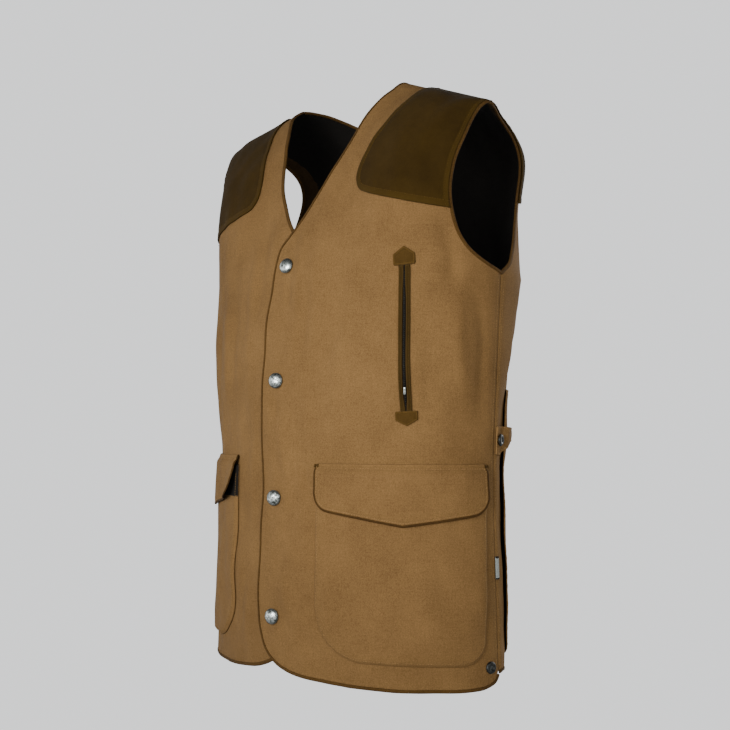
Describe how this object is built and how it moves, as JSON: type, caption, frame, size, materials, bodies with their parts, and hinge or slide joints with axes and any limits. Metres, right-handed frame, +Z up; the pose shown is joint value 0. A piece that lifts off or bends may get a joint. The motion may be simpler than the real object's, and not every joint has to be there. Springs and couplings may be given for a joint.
{
  "type": "hunting gilet",
  "caption": "Sleeveless canvas hunting gilet with suede shoulder patches, snap front, flap pockets and a rear game pouch, in its worn shape.",
  "frame": {"origin": "midway between the two shoulder seams, where the wearer's shoulders carry the gilet", "axes": "+Z up, -Y towards the front closing, +X towards the wearer's left"},
  "size_m": [0.4768, 0.2777, 0.7243],
  "materials": {
    "canvas": "matt waxed cotton canvas",
    "suede": "brushed suede",
    "binding": "matt folded tape",
    "zip": "matt",
    "snap_metal": "antique silver",
    "snap_dark": "gunmetal",
    "label": "plain woven tape"
  },
  "bodies": {
    "root": {"front_left": "canvas", "front_right": "canvas", "back": "canvas", "shoulder_patch_front_left": "suede", "shoulder_patch_front_right": "suede", "shoulder_patch_back_left": "suede", "shoulder_patch_back_right": "suede", "binding_front_left": "binding", "binding_front_right": "binding", "binding_back_neck": "binding", "binding_back_hem": "binding", "binding_armhole_left": "binding", "binding_armhole_right": "binding", "pocket_left": "canvas", "pocket_right": "canvas", "flap_left": "canvas", "flap_right": "canvas", "zip_lip_inner": "suede", "zip_lip_outer": "suede", "zip_chain": "zip", "zip_tab_top": "suede", "zip_tab_foot": "suede", "zip_slider": "snap_dark", "snap_1": "snap_metal", "snap_2": "snap_metal", "snap_3": "snap_metal", "snap_4": "snap_metal", "hem_snap_left": "snap_dark", "hem_snap_right": "snap_dark", "tab_snap_left": "snap_dark", "tab_snap_right": "snap_dark", "side_tab_left": "canvas", "side_tab_right": "canvas", "side_label": "label", "game_pouch": "canvas"}
  },
  "joints": []
}
